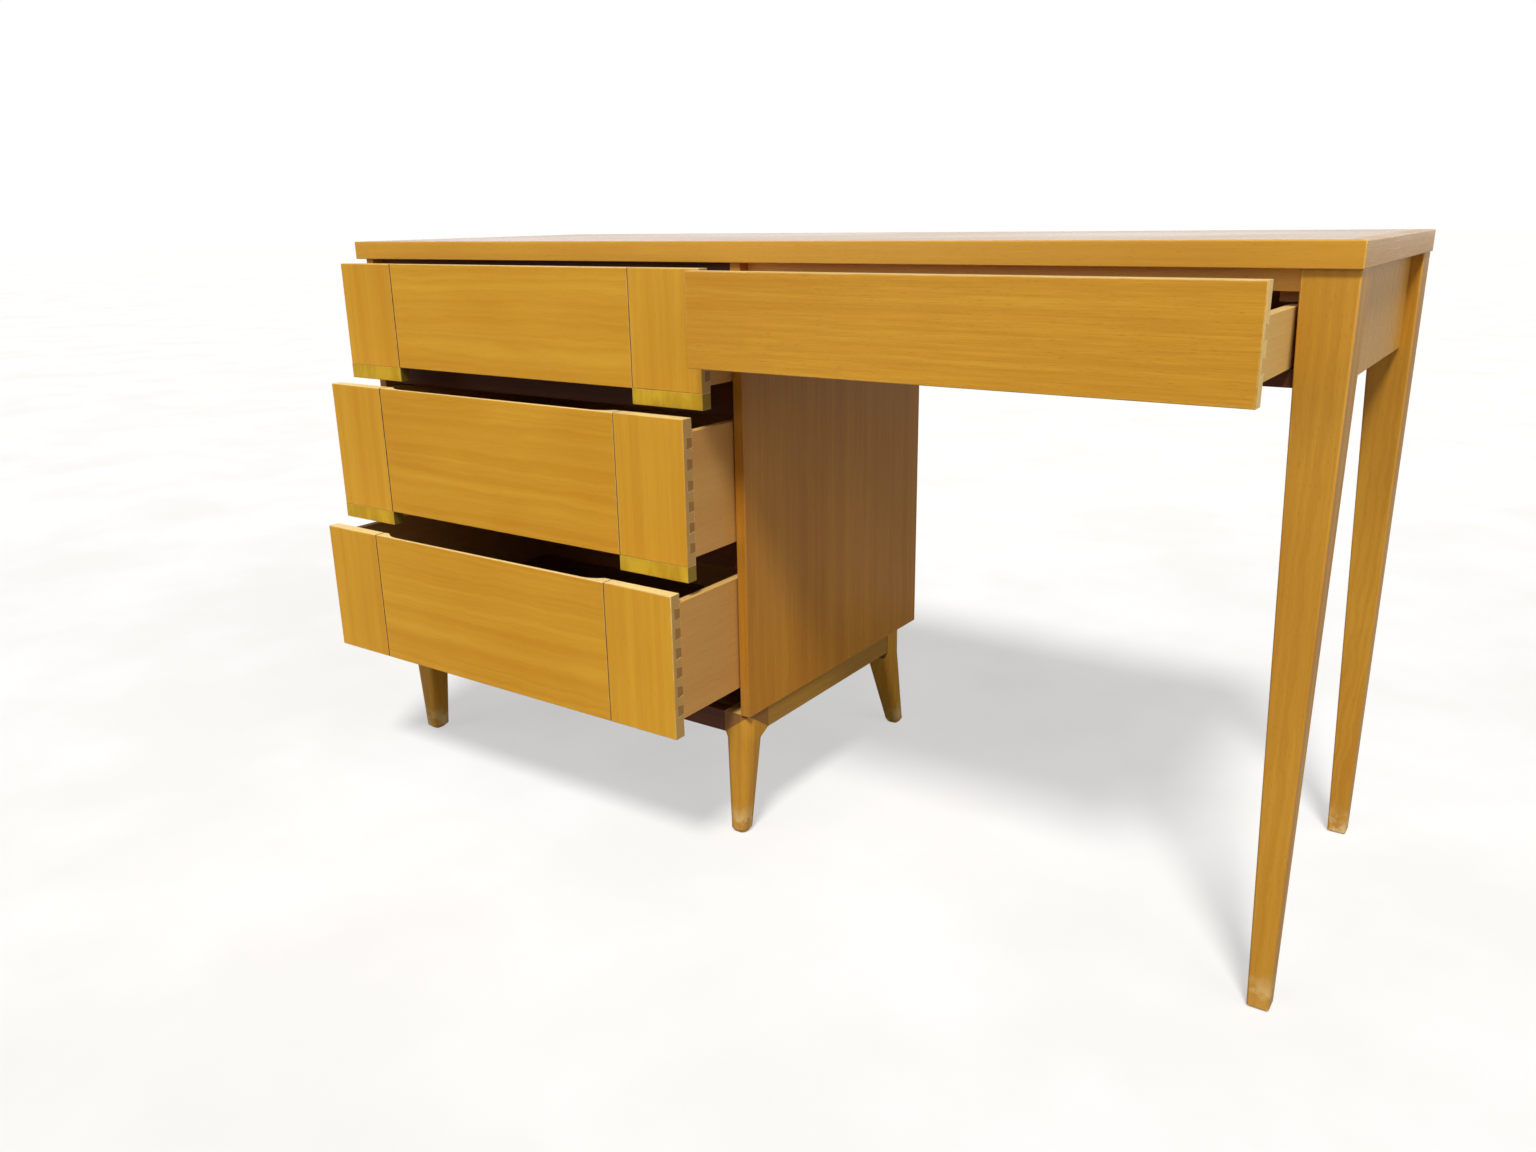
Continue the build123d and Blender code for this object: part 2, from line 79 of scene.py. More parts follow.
# The surface itself.
UNSQUEEZED = (1.0, 1.0, 1.0)
COAT_ROUGHNESS = 0.22
GRAIN_DEPTH = 0.06 * MM
METAL_DEPTH = 0.02 * MM
WOOD_EDGE_WEAR = 1.2 * MM
BRASS_EDGE_WEAR = 0.8 * MM
FACING = (0.7, 0.9)


def tone(red: int, green: int, blue: int) -> Colour:
    """Turn a screen colour into the linear colour that a shader takes.

    Args:
        red: Red, from 0 to 255.
        green: Green, from 0 to 255.
        blue: Blue, from 0 to 255.

    Returns:
        The linear colour, with full alpha.
    """
    linear = [value / 12.92 if value <= 0.04045 else ((value + 0.055) / 1.055) ** 2.4
              for value in (red / 255, green / 255, blue / 255)]
    return (linear[0], linear[1], linear[2], 1.0)


def piece_offset(piece: str) -> Vector:
    """Place a piece somewhere of its own in the grain, always the same for the same name.

    Args:
        piece: The piece's name.

    Returns:
        An offset in metres, up to 10 m each way.
    """
    seed = zlib.crc32(piece.encode())
    return Vector((seed % 997, seed // 997 % 991, seed // 988027 % 983)) / 100.0


class Grain(Enum):
    """The way the grain of a board runs."""

    ACROSS = "X"
    DEEP = "Y"
    UPRIGHT = "Z"

    def squeeze(self, along: float) -> Triple:
        """Give the scale that stretches a pattern along the grain.

        Args:
            along: How much slower the pattern changes along the grain, from 0 to 1.

        Returns:
            The scale in x, y and z.
        """
        return tuple(along if axis is self else 1.0 for axis in Grain)


class Recipe:
    """A material or world being mixed: short calls that add a node and give back its output."""

    def __init__(self, owner: bpy.types.Material | bpy.types.World) -> None:
        """Start with no nodes.

        Args:
            owner: The new material or world.
        """
        owner.use_nodes = True
        self.owner = owner
        self.tree = owner.node_tree
        self.tree.nodes.clear()

    def feed(self, socket: Socket, value: object) -> None:
        """Link an output to a socket, or set the socket's own value.

        Args:
            socket: The input that takes the value.
            value: Another node's output, or a plain value.
        """
        if isinstance(value, bpy.types.NodeSocket):
            self.tree.links.new(value, socket)
        else:
            socket.default_value = value

    def add(self, kind: str, inputs: dict, **settings: object) -> bpy.types.Node:
        """Add a node.

        Args:
            kind: The node's type, without the leading "ShaderNode".
            inputs: What its inputs take, by name or number.
            **settings: The node's own settings.

        Returns:
            The new node.
        """
        node = self.tree.nodes.new("ShaderNode" + kind)
        for name, value in settings.items():
            setattr(node, name, value)
        for name, value in inputs.items():
            self.feed(node.inputs[name], value)
        return node

    def math(self, operation: str, first: object, second: object = 0.0) -> Socket:
        """Work out one sum.

        Args:
            operation: The Math node's operation.
            first: Its first value.
            second: Its second value.

        Returns:
            The result.
        """
        return self.add("Math", {0: first, 1: second}, operation=operation).outputs[0]

    def scale(self, value: object, *factors: object) -> Socket:
        """Multiply values together.

        Args:
            value: The first value.
            *factors: What it is multiplied by, one after the other.

        Returns:
            The product.
        """
        for factor in factors:
            value = self.math("MULTIPLY", value, factor)
        return value

    def span(self, value: object, low: float, high: float, start: float = 0.0, end: float = 1.0) -> Socket:
        """Map a value smoothly from one range to another.

        Args:
            value: The value that is mapped.
            low: The value that gives start.
            high: The value that gives end.
            start: The result at and below low.
            end: The result at and above high.

        Returns:
            The mapped value.
        """
        inputs = {"Value": value, "From Min": low, "From Max": high, "To Min": start, "To Max": end}
        return self.add("MapRange", inputs, interpolation_type="SMOOTHSTEP").outputs[0]

    def noise(self, place: Socket, per_metre: float, detail: float = 3.0, rough: float = 0.55) -> Socket:
        """Give a cloudy value around 0.5.

        Args:
            place: Where the value is taken.
            per_metre: How many clouds there are in a metre.
            detail: How many finer layers are added.
            rough: How strong the finer layers are.

        Returns:
            The noise value.
        """
        inputs = {"Vector": place, "Scale": per_metre, "Detail": detail, "Roughness": rough}
        return self.add("TexNoise", inputs).outputs[0]

    def mix(self, share: object, first: object, second: object) -> Socket:
        """Mix two colours.

        Args:
            share: How much of the second colour is used.
            first: The first colour.
            second: The second colour.

        Returns:
            The mixed colour.
        """
        return self.add("Mix", {0: share, 6: first, 7: second}, data_type="RGBA").outputs[2]

    def place(self, piece: str, squeeze: Triple = UNSQUEEZED) -> Socket:
        """Give the place on a piece, shifted by its name and squeezed along its grain.

        Args:
            piece: The piece's name.
            squeeze: The scale in x, y and z.

        Returns:
            The place.
        """
        inputs = {"Vector": self.coordinates("Object"), "Scale": squeeze, "Location": piece_offset(piece)}
        return self.add("Mapping", inputs).outputs[0]

    def coordinates(self, kind: str) -> Socket:
        """Give one of the outputs of the Texture Coordinate node, such as the place on the piece."""
        found = [node for node in self.tree.nodes if node.type == "TEX_COORD"]
        node = found[0] if found else self.add("TexCoord", {})
        return node.outputs[kind]

    def parts(self, vector: Socket) -> tuple[Socket, Socket, Socket]:
        """Split a vector into its x, y and z."""
        return tuple(self.add("SeparateXYZ", {0: vector}).outputs)

    def facing(self) -> tuple[Socket, Socket, Socket]:
        """Give the three parts of the surface's own direction."""
        return self.parts(self.coordinates("Normal"))

    def square_on(self, part: Socket, low: float = FACING[0], high: float = FACING[1], most: float = 1.0) -> Socket:
        """Find the faces square to an axis, on either side.

        Args:
            part: The part of the surface's direction along that axis.
            low: The part at which a face starts to count.
            high: The part at which it counts in full.
            most: The value of a face that counts in full.

        Returns:
            0 on other faces, up to most on those square to the axis.
        """
        return self.span(self.math("ABSOLUTE", part), low, high, 0.0, most)

    def worn_edges(self, reach: float) -> Socket:
        """Find the edges and corners of a piece.

        Args:
            reach: How far from an edge it still counts, in metres.

        Returns:
            0 on flat stretches, up to about 1 on an edge.
        """
        rounded = self.add("Bevel", {"Radius": reach}, samples=4).outputs[0]
        flat = self.add("NewGeometry", {}).outputs["Normal"]
        turned = self.add("VectorMath", {0: rounded, 1: flat}, operation="DOT_PRODUCT").outputs["Value"]
        return self.span(turned, 0.995, 0.90)

    def finish(self, shader: dict, height: Socket, depth: float) -> bpy.types.Material:
        """Close the material with its surface shader and its bump.

        Args:
            shader: What the surface shader's inputs take.
            height: The height of the surface, from 0 to 1.
            depth: How deep that height is, in metres.

        Returns:
            The finished material.
        """
        bump = self.add("Bump", {"Height": height, "Distance": depth, "Strength": 1.0})
        surface = self.add("BsdfPrincipled", {**shader, "Normal": bump.outputs[0]})
        self.add("OutputMaterial", {0: surface.outputs[0]})
        return self.owner


@dataclass(frozen=True)
class Mark:
    """A stretch of a board in another colour."""

    colour: Colour
    share: float

    def mask(self, recipe: Recipe) -> object:
        """Find the marked stretch.

        Args:
            recipe: The material being mixed.

        Returns:
            The share of the mark's colour at each point.
        """
        raise NotImplementedError


@dataclass(frozen=True)
class Stain(Mark):
    """A darkened stretch, such as a dark seam, the dovetails at a drawer's front, or painted shade in a groove.
    Places are in metres.
    """

    beside: float | None = None
    reach: float = 0.0
    before: float | None = None
    behind: float | None = None

    def mask(self, recipe: Recipe) -> object:
        """Find the stretch within reach of one x, before one y and behind another.

        Args:
            recipe: The material being mixed.

        Returns:
            The share of stain at each point.
        """
        across, deep, _ = recipe.parts(recipe.coordinates("Object"))
        mask = self.share
        if self.beside is not None:
            gap = recipe.math("ABSOLUTE", recipe.math("SUBTRACT", across, self.beside))
            mask = recipe.scale(mask, recipe.math("LESS_THAN", gap, self.reach))
        if self.before is not None:
            mask = recipe.scale(mask, recipe.math("LESS_THAN", deep, self.before))
        if self.behind is not None:
            mask = recipe.scale(mask, recipe.math("GREATER_THAN", deep, self.behind))
        return mask


@dataclass(frozen=True)
class Mitre(Mark):
    """The upper corner of a front leg's head, in the colour of the rails mitred to it."""

    corner: tuple[float, float]
    size: tuple[float, float]
    top: float
    height: float

    def mask(self, recipe: Recipe) -> object:
        """Find the parts of the head above the slanting joint lines.

        Args:
            recipe: The material being mixed.

        Returns:
            The share of rail colour at each point.
        """
        place = recipe.parts(recipe.coordinates("Object"))
        facing = recipe.facing()
        masks = []
        for axis, other in ((0, 1), (1, 0)):
            gap = recipe.math("ABSOLUTE", recipe.math("SUBTRACT", place[axis], self.corner[axis]))
            rise = recipe.scale(gap, self.height / self.size[axis])
            above = recipe.math("GREATER_THAN", recipe.math("ADD", place[2], rise), self.top)
            masks.append(recipe.scale(above, recipe.square_on(facing[other], 0.6, 0.8)))
        return recipe.scale(recipe.math("ADD", *masks), self.share)


@dataclass(frozen=True)
class WoodFinish:
    """A wood with its lacquer. Lengths are in metres."""

    name: str
    light: Colour
    dark: Colour
    pore: Colour
    band: float = 0.012
    wave: float = 0.006
    figure: float = 0.6
    fibre: float = 0.35
    pores: float = 0.25
    # upper: a painted highlight, the colour of the upward faces where light from above falls
    upper: Colour | None = None
    flank: Colour | None = None
    end: Colour | None = None
    worn: Colour | None = None
    roughness: float = 0.38
    coat: float = 0.15
    specular: float = 0.3
    foot_wear: float = 0.0
    dings: float = 0.0

    def figure_bands(self, recipe: Recipe, piece: str, grain: Grain) -> Socket:
        """Lay out the growth bands, which wander a little along the grain.

        Args:
            recipe: The material being mixed.
            piece: The piece's name.
            grain: The way its grain runs.

        Returns:
            The band value, from 0 to 1.
        """
        drift = recipe.noise(recipe.place(piece + ".drift", grain.squeeze(0.22)), DRIFT, 3.0)
        ripple = recipe.noise(recipe.place(piece + ".ripple", grain.squeeze(0.45)), RIPPLE, 2.0)
        straight = recipe.parts(recipe.place(piece))
        across = [part for part, axis in zip(straight, Grain) if axis is not grain]
        slope = recipe.scale(across[0], 0.45 if grain is Grain.ACROSS else 1.0)
        wandering = recipe.scale(drift, 4.0 * self.wave)
        jagged = recipe.scale(ripple, self.wave)
        path = recipe.math("ADD", recipe.math("ADD", slope, across[1]), wandering)
        inputs = {"W": recipe.math("ADD", path, jagged), "Scale": 1.0 / self.band, "Detail": 4.0, "Roughness": 0.62}
        bands = recipe.add("TexNoise", inputs, noise_dimensions="1D").outputs[0]
        return recipe.span(bands, 0.30, 0.70)

    def material(self, piece: str, grain: Grain, mark: Mark | None = None) -> bpy.types.Material:
        """Mix this wood for one piece.

        Args:
            piece: The piece's name.
            grain: The way its grain runs.
            mark: A stretch in another colour, where it has one.

        Returns:
            The material.
        """
        recipe = Recipe(bpy.data.materials.new(f"{self.name}.{piece}"))
        bands = self.figure_bands(recipe, piece, grain)
        fibre = recipe.noise(recipe.place(piece + ".fibre", grain.squeeze(0.018)), FIBRES, 2.0, 0.6)
        broad = recipe.noise(recipe.place(piece + ".fibre", grain.squeeze(0.03)), BROAD_FIBRES, 2.0, 0.6)
        ticks = recipe.noise(recipe.place(piece + ".pore", grain.squeeze(0.06)), PORES, 1.0, 0.5)
        cloud = recipe.noise(recipe.place(piece + ".cloud", grain.squeeze(0.5)), CLOUDS, 3.0)
        lines = recipe.span(recipe.math("ADD", recipe.scale(fibre, 0.5), recipe.scale(broad, 0.5)), 0.36, 0.64)
        pore = recipe.span(ticks, 0.64, 0.74)
        tint = recipe.scale(recipe.math("ADD", bands, recipe.span(cloud, 0.3, 0.7)), 0.5 * self.figure)
        colour = recipe.mix(tint, self.light, self.dark)
        colour = recipe.mix(recipe.scale(recipe.math("SUBTRACT", 1.0, lines), self.fibre), colour, self.dark)
        colour = recipe.mix(recipe.scale(pore, self.pores), colour, self.pore)
        colour = self.face_tints(recipe, piece, grain, colour)
        colour = self.wear(recipe, piece, colour)
        if mark:
            colour = recipe.mix(mark.mask(recipe), colour, mark.colour)
        patchy = recipe.scale(recipe.math("SUBTRACT", cloud, 0.5), 0.25)
        rough = recipe.math("ADD", recipe.scale(lines, -0.08), self.roughness + 0.04)
        shader = {
            "Base Color": colour,
            "Roughness": recipe.math("ADD", rough, patchy),
            "Coat Weight": self.coat,
            "Coat Roughness": COAT_ROUGHNESS,
            "Specular IOR Level": self.specular,
        }
        height = recipe.math("SUBTRACT", recipe.scale(lines, 0.5), recipe.scale(pore, 0.5))
        return recipe.finish(shader, height, GRAIN_DEPTH)

    def face_tints(self, recipe: Recipe, piece: str, grain: Grain, colour: Socket) -> Socket:
        """Tint the flanks and the end grain, and paint a highlight on the upward faces.

        Args:
            recipe: The material being mixed.
            piece: The piece's name.
            grain: The way its grain runs.
            colour: The colour so far.

        Returns:
            The tinted colour.
        """
        facing = recipe.facing()
        mottle = recipe.noise(recipe.place(piece + ".end"), MOTTLE, 3.0, 0.7)
        speckle = recipe.span(mottle, 0.35, 0.65, 0.55, 1.0)
        if self.flank:
            share = recipe.square_on(facing[0], most=0.9)
            colour = recipe.mix(recipe.scale(share, speckle), colour, self.flank)
        if self.end:
            share = recipe.square_on(facing[list(Grain).index(grain)])
            colour = recipe.mix(recipe.scale(share, speckle), colour, self.end)
        # Painted highlight: the upward faces are lightened, as light from above would light them.
        if self.upper:
            share = recipe.span(facing[2], *FACING)
            colour = recipe.mix(recipe.scale(share, speckle), colour, self.upper)
        return colour

    def wear(self, recipe: Recipe, piece: str, colour: Socket) -> Socket:
        """Add the pale rubbed edges, the scuffed foot and the small dings.

        Args:
            recipe: The material being mixed.
            piece: The piece's name.
            colour: The colour so far.

        Returns:
            The worn colour.
        """
        patches = recipe.noise(recipe.place(piece + ".wear"), RUBBED_PATCHES, 4.0, 0.65)
        if self.worn:
            patchy = recipe.span(patches, 0.38, 0.62, 0.15, 0.9)
            colour = recipe.mix(recipe.scale(recipe.worn_edges(WOOD_EDGE_WEAR), patchy), colour, self.worn)
        if self.foot_wear:
            _, _, height = recipe.parts(recipe.coordinates("Object"))
            low = recipe.span(height, self.foot_wear, 0.0)
            scuffed = recipe.scale(low, recipe.span(patches, 0.42, 0.6, 0.1, 0.85))
            colour = recipe.mix(scuffed, colour, self.worn or self.light)
        if self.dings:
            cells = recipe.add("TexVoronoi", {"Vector": recipe.place(piece + ".ding"), "Scale": DINGS})
            spot = recipe.span(cells.outputs["Distance"], 0.022, 0.010)
            chosen = recipe.parts(cells.outputs["Color"])[0]
            few = recipe.scale(spot, recipe.span(chosen, 0.80, 0.82, 0.0, self.dings))
            colour = recipe.mix(few, colour, DING)
        return colour


@dataclass(frozen=True)
class BrassFinish:
    """Aged sheet brass, satin, smudged, and rubbed bright along its edges, with painted shade on its side faces."""

    name: str = "brass"
    bright: Colour = tone(246, 208, 62)
    dull: Colour = tone(222, 180, 48)
    edge: Colour = tone(250, 236, 170)
    # flank: painted shade for the caps' side faces
    flank: Colour = tone(140, 118, 52)
    spot: Colour = tone(120, 94, 36)
    metallic: float = 0.7
    roughness: float = 0.48

    def material(self, piece: str) -> bpy.types.Material:
        """Mix this brass for one piece.

        Args:
            piece: The piece's name.

        Returns:
            The material.
        """
        recipe = Recipe(bpy.data.materials.new(f"{self.name}.{piece}"))
        smudge = recipe.noise(recipe.place(piece, Grain.UPRIGHT.squeeze(0.35)), 38.0, 3.0, 0.55)
        brushed = recipe.noise(recipe.place(piece + ".brush", (0.05, 0.05, 1.0)), 2200.0, 2.0)
        spots = recipe.noise(recipe.place(piece + ".spot"), 420.0, 3.0, 0.7)
        tarnish = recipe.span(smudge, 0.38, 0.62)
        colour = recipe.mix(tarnish, self.bright, self.dull)
        colour = recipe.mix(recipe.span(spots, 0.64, 0.76, 0.0, 0.35), colour, self.spot)
        # Painted shade: the side faces are darkened.
        colour = recipe.mix(recipe.square_on(recipe.facing()[0], most=0.8), colour, self.flank)
        colour = recipe.mix(recipe.scale(recipe.worn_edges(BRASS_EDGE_WEAR), 0.8), colour, self.edge)
        rough = recipe.math("ADD", recipe.scale(tarnish, 0.16), self.roughness - 0.06)
        shader = {"Base Color": colour, "Metallic": self.metallic, "Roughness": rough}
        return recipe.finish(shader, brushed, METAL_DEPTH)


@dataclass(frozen=True)
class SteelFinish:
    """Zinc-plated steel, as on wood screws."""

    name: str = "screw_steel"
    light: Colour = tone(196, 194, 188)
    dark: Colour = tone(120, 116, 108)

    def material(self, piece: str) -> bpy.types.Material:
        """Mix this steel for one piece.

        Args:
            piece: The piece's name.

        Returns:
            The material.
        """
        recipe = Recipe(bpy.data.materials.new(f"{self.name}.{piece}"))
        cloud = recipe.noise(recipe.place(piece), 700.0, 4.0, 0.6)
        colour = recipe.mix(recipe.span(cloud, 0.35, 0.65), self.light, self.dark)
        rough = recipe.math("ADD", recipe.scale(cloud, 0.3), 0.25)
        return recipe.finish({"Base Color": colour, "Metallic": 1.0, "Roughness": rough}, cloud, METAL_DEPTH)


HONEY_LIGHT = tone(222, 168, 50)
HONEY_DARK = tone(198, 134, 22)
HONEY_PORE = tone(146, 90, 20)
CREAM = tone(250, 232, 170)
TAN = tone(170, 140, 96)
# Dark brown for the rear legs' dark seam and for painted shade in the drawer fronts' grooves.
JOINT_DARK_AND_SHADE = tone(66, 40, 18)
DING = tone(244, 226, 180)
RAIL_BROWN = tone(126, 84, 44)
TAIL_BROWN = tone(104, 80, 46)

# The upper creams on the three fronts are a painted highlight on their top faces.
FRONT_VENEER = WoodFinish(
    "front_veneer", HONEY_LIGHT, HONEY_DARK, HONEY_PORE, band=0.020, wave=0.008, figure=0.85,
    fibre=0.22, pores=0.2, upper=CREAM, flank=TAN, worn=CREAM, dings=0.9, specular=0.22)
PILASTER_VENEER = WoodFinish(
    "front_veneer", HONEY_LIGHT, HONEY_DARK, HONEY_PORE, band=0.026, wave=0.003, figure=0.7,
    fibre=0.26, pores=0.2, upper=CREAM, flank=TAN, worn=CREAM, dings=0.9, specular=0.22)
PENCIL_VENEER = WoodFinish(
    "front_veneer", tone(220, 164, 52), tone(194, 132, 28), HONEY_PORE, band=0.012, wave=0.002, figure=0.65,
    fibre=0.55, pores=0.35, upper=CREAM, flank=CREAM, worn=CREAM, specular=0.22)
TOP_VENEER = WoodFinish(
    "top_veneer", tone(206, 160, 78), tone(176, 124, 48), HONEY_PORE, band=0.014, wave=0.003, figure=0.7,
    fibre=0.5, pores=0.3, roughness=0.24, coat=0.5, specular=0.35)
EDGING = WoodFinish(
    "solid_edging", tone(224, 170, 58), tone(200, 138, 34), HONEY_PORE, band=0.009, wave=0.002, figure=0.6,
    fibre=0.4, pores=0.25, end=tone(196, 152, 92), worn=CREAM, roughness=0.3, coat=0.2)
# Painted sheen: a beiger copy of the edging wood for the top's end lipping, standing in for the pale sheen of cool
# light on the end faces.
END_EDGING_PAINTED_SHEEN = WoodFinish(
    "solid_edging", tone(214, 164, 74), tone(190, 136, 52), HONEY_PORE, band=0.010, wave=0.002, figure=0.6,
    fibre=0.4, pores=0.25, worn=CREAM, roughness=0.3, coat=0.3)
# Painted light: a much paler copy of the edging wood, brightened to make up for the shade the upper kneehole rail
# stands in under the top.
KNEE_RAIL_PAINTED_LIGHT = WoodFinish(
    "solid_edging", tone(252, 204, 112), tone(240, 178, 80), HONEY_PORE, band=0.012, wave=0.002, figure=0.6,
    fibre=0.3, pores=0.25, worn=CREAM, roughness=0.34, coat=0.1)
CASE_VENEER = WoodFinish(
    "case_veneer", tone(202, 142, 48), tone(168, 104, 26), tone(112, 66, 16), band=0.024, wave=0.004,
    figure=0.7, fibre=0.4, pores=0.35, worn=tone(226, 190, 120), roughness=0.34, coat=0.15)
BASE_VENEER = WoodFinish(
    "case_veneer", tone(176, 132, 56), tone(146, 102, 36), tone(100, 66, 22), band=0.016, wave=0.003,
    figure=0.6, fibre=0.35, pores=0.35, worn=tone(206, 172, 104), roughness=0.36, coat=0.1)
LEG_WOOD = WoodFinish(
    "leg_wood", tone(214, 160, 54), tone(180, 122, 32), tone(122, 78, 22), band=0.015, wave=0.009, figure=0.85,
    fibre=0.28, pores=0.3, end=tone(214, 182, 112), worn=tone(232, 206, 146), roughness=0.34, coat=0.15,
    foot_wear=0.05)
# Painted sheen: a beiger copy of the edging wood, standing in for the pale sheen of cool light on the side apron.
APRON_WOOD_PAINTED_SHEEN = WoodFinish(
    "solid_edging", tone(218, 168, 80), tone(192, 138, 54), tone(140, 94, 36), band=0.016, wave=0.003,
    figure=0.6, fibre=0.32, pores=0.25, worn=CREAM, roughness=0.3, coat=0.2)
FRAME_WOOD = WoodFinish(
    "frame_wood", tone(124, 74, 46), tone(84, 46, 28), tone(44, 24, 14), band=0.016, wave=0.004, figure=0.8,
    fibre=0.4, pores=0.4, end=tone(170, 130, 80), roughness=0.5, coat=0.0)
# The upper tones on the drawer boxes' woods are a painted highlight on the top edges of their boards.
DRAWER_WOOD = WoodFinish(
    "drawer_wood", tone(206, 154, 84), tone(184, 128, 62), tone(120, 76, 34), band=0.040, wave=0.012,
    figure=0.6, fibre=0.18, pores=0.3, upper=tone(232, 190, 112), roughness=0.5, coat=0.0)
BIRCH = WoodFinish(
    "drawer_wood", tone(228, 190, 118), tone(204, 160, 90), tone(156, 114, 60), band=0.030, wave=0.008,
    figure=0.5, fibre=0.22, pores=0.3, upper=tone(236, 204, 138), roughness=0.5, coat=0.0)
RUNNER_WOOD = WoodFinish(
    "runner_wood", tone(204, 170, 116), tone(172, 134, 84), tone(120, 86, 50), band=0.016, wave=0.004,
    figure=0.6, fibre=0.35, pores=0.4, end=tone(160, 126, 80), roughness=0.6, coat=0.0)
PLYWOOD = WoodFinish(
    "plywood", tone(168, 124, 74), tone(130, 90, 50), tone(96, 62, 32), band=0.030, wave=0.016, figure=0.8,
    fibre=0.35, pores=0.5, flank=tone(120, 84, 50), roughness=0.6, coat=0.0)
BRASS = BrassFinish()
STEEL = SteelFinish()


class SubAssembly:
    """What every sub-assembly shares: dressing its CAD nodes and softening their edges."""

    def soften(self, node: str, radius: float) -> None:
        """Round the sharp edges of a CAD node a little, without touching its mesh.

        Args:
            node: The CAD node's name.
            radius: The edge radius, in metres.
        """
        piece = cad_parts[node]
        weld = piece.modifiers.new("one_skin", "WELD")
        weld.merge_threshold = SAME_POINT
        flat = piece.modifiers.new("flat_faces", "DECIMATE")
        flat.decimate_type = "DISSOLVE"
        flat.angle_limit = FLAT_ANGLE
        edge = piece.modifiers.new("soft_edges", "BEVEL")
        edge.width = radius
        edge.segments = EDGE_STEPS
        edge.limit_method = "ANGLE"
        edge.angle_limit = SHARP_ANGLE
        edge.harden_normals = True
        edge.use_clamp_overlap = True

    def dress(self, nodes: tuple[str, ...], finish: WoodFinish, grain: Grain, radius: float = BOARD_EDGE,
              mark: Mark | None = None) -> None:
        """Give wood to CAD nodes and soften their edges.

        Args:
            nodes: The CAD nodes' names.
            finish: The wood they are made of.
            grain: The way their grain runs.
            radius: Their edge radius, in metres.
            mark: A stretch in another colour, where they have one.
        """
        for node in nodes:
            self.paint(node, finish.material(node, grain, mark))
            self.soften(node, radius)
            log.info("%s: %s, grain %s", node, finish.name, grain.name.lower())

    def paint(self, node: str, material: bpy.types.Material) -> None:
        """Put one material on the whole of a CAD node.

        Args:
            node: The CAD node's name.
            material: The material.
        """
        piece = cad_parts[node]
        piece.data.materials.clear()
        piece.data.materials.append(material)


@dataclass
class Desktop(SubAssembly):
    """The veneered top with its solid lipping and the screws that hold it."""

    edge_radius: float = STOUT_EDGE

    def build(self) -> None:
        """Dress the top, its lipping and its screws."""
        self.dress(("desktop_core",), TOP_VENEER, Grain.ACROSS, THIN_EDGE)
        self.dress(("desktop_edge_front", "desktop_edge_back"), EDGING, Grain.ACROSS, self.edge_radius)
        # Painted sheen: the end lipping takes the beiger wood.
        self.dress(("desktop_edge_left", "desktop_edge_right"), END_EDGING_PAINTED_SHEEN, Grain.DEEP, self.edge_radius)
        self.paint("desktop_screws", STEEL.material("desktop_screws"))


@dataclass
class PedestalCase(SubAssembly):
    """The open-fronted case that holds the three deep drawers."""

    edge_radius: float = BOARD_EDGE

    def build(self) -> None:
        """Dress the case's boards, rails and runners."""
        self.dress(("pedestal_side_left", "pedestal_side_right"), CASE_VENEER, Grain.UPRIGHT, self.edge_radius)
        self.dress(("pedestal_back_panel",), PLYWOOD, Grain.ACROSS, THIN_EDGE)
        rails = ("pedestal_top_rail_front", "pedestal_top_rail_back", "drawer_rail_upper", "drawer_rail_lower")
        self.dress(rails, FRAME_WOOD, Grain.ACROSS)
        self.dress(("pedestal_drawer_runners",), RUNNER_WOOD, Grain.DEEP)


@dataclass
class BaseFrame(SubAssembly):
    """The low frame under the case, with its corner blocks and four short splayed legs."""

    edge_radius: float = STOUT_EDGE

    def build(self) -> None:
        """Dress the rails, blocks and legs."""
        self.dress(("base_rail_front", "base_rail_back"), FRAME_WOOD, Grain.ACROSS, self.edge_radius)
        self.dress(("base_rail_left", "base_rail_right"), BASE_VENEER, Grain.DEEP, self.edge_radius)
        self.dress(("base_panel",), PLYWOOD, Grain.ACROSS, PLY_EDGE)
        self.dress(("base_corner_blocks",), RUNNER_WOOD, Grain.UPRIGHT)
        head_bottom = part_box("base_rail_front")[0].z
        for side in ("left", "right"):
            front, rear = f"pedestal_leg_front_{side}", f"pedestal_leg_rear_{side}"
            low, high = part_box(front)
            corner = (low.x if side == "left" else high.x, low.y)
            size = (high.x - low.x, high.y - low.y)
            joint = Mitre(RAIL_BROWN, 0.85, corner, size, top=high.z, height=high.z - head_bottom)
            self.dress((front,), LEG_WOOD, Grain.UPRIGHT, self.edge_radius, joint)
            seam = Stain(JOINT_DARK_AND_SHADE, 0.85, before=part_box(rear)[0].y + 1.2 * MM)
            self.dress((rear,), LEG_WOOD, Grain.UPRIGHT, self.edge_radius, seam)


@dataclass
class KneeholeSide(SubAssembly):
    """The long legs, aprons and rails that carry the top beside the case."""

    edge_radius: float = STOUT_EDGE

    def build(self) -> None:
        """Dress the legs, aprons, rails and the pencil drawer's runners."""
        self.dress(("desk_leg_front", "desk_leg_rear"), LEG_WOOD, Grain.UPRIGHT, self.edge_radius)
        # Painted sheen: the side apron takes the beiger wood.
        self.dress(("side_apron",), APRON_WOOD_PAINTED_SHEEN, Grain.UPRIGHT, self.edge_radius)
        self.dress(("rear_apron",), EDGING, Grain.ACROSS, self.edge_radius)
        # Painted light: the upper rail takes the brightened wood.
        self.dress(("kneehole_rail_upper",), KNEE_RAIL_PAINTED_LIGHT, Grain.ACROSS)
        self.dress(("kneehole_rail_lower",), FRAME_WOOD, Grain.ACROSS)
        self.dress(("pencil_drawer_runners", "pencil_drawer_kickers"), RUNNER_WOOD, Grain.DEEP)


